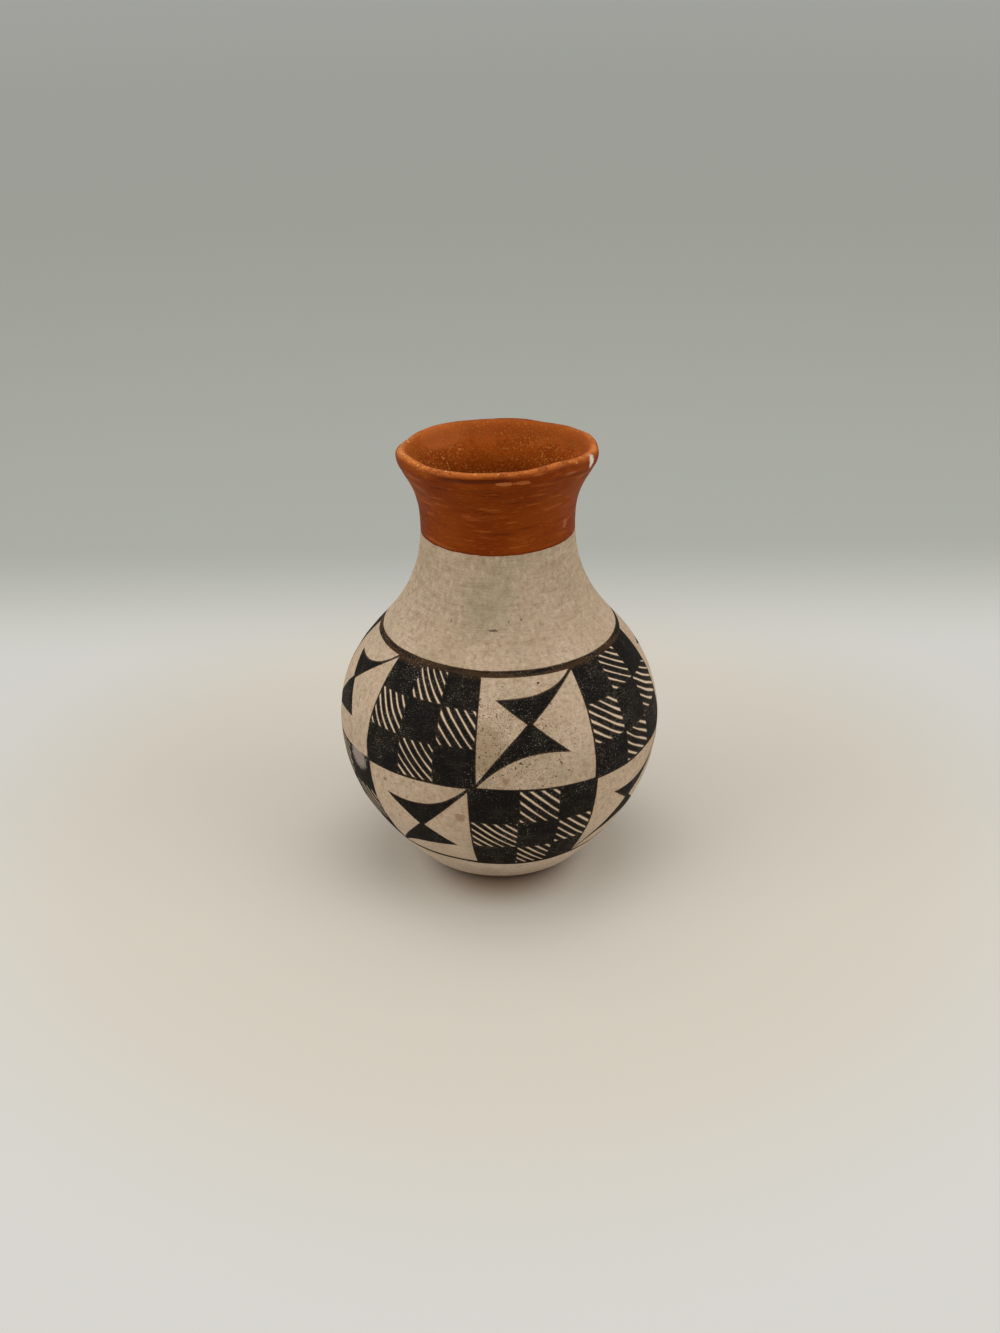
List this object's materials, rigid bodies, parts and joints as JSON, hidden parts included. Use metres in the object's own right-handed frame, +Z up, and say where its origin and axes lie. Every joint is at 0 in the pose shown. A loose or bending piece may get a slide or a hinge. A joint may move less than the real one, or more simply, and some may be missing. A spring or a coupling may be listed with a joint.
{
  "type": "pottery vase",
  "caption": "Small coil-built pottery vase with a round belly, a waisted neck and a flared, rolled lip; black-on-cream painted band and an orange slipped neck.",
  "frame": {"origin": "centre of the foot's flat underside", "axes": "+Z up along the vase's axis, -Y towards the side that the picture shows, +X to its right"},
  "size_m": [0.1004, 0.1004, 0.1384],
  "materials": {
    "cream_slip": "stone-polished cream slip on low-fired earthenware, satin, with a matte black painted band on the belly",
    "orange_slip": "stone-polished orange slip on low-fired earthenware, satin"
  },
  "bodies": {
    "root": {"base_pancake": "cream_slip", "bowl_coil_1": "cream_slip", "bowl_coil_2": "cream_slip", "bowl_coil_3": "cream_slip", "shoulder_coil_1": "cream_slip", "shoulder_coil_2": "cream_slip", "neck_coil_1": "cream_slip", "neck_coil_2": "cream_slip", "neck_coil_3": "cream_slip", "throat_coil": "orange_slip", "rim_coil": "orange_slip"}
  },
  "joints": []
}
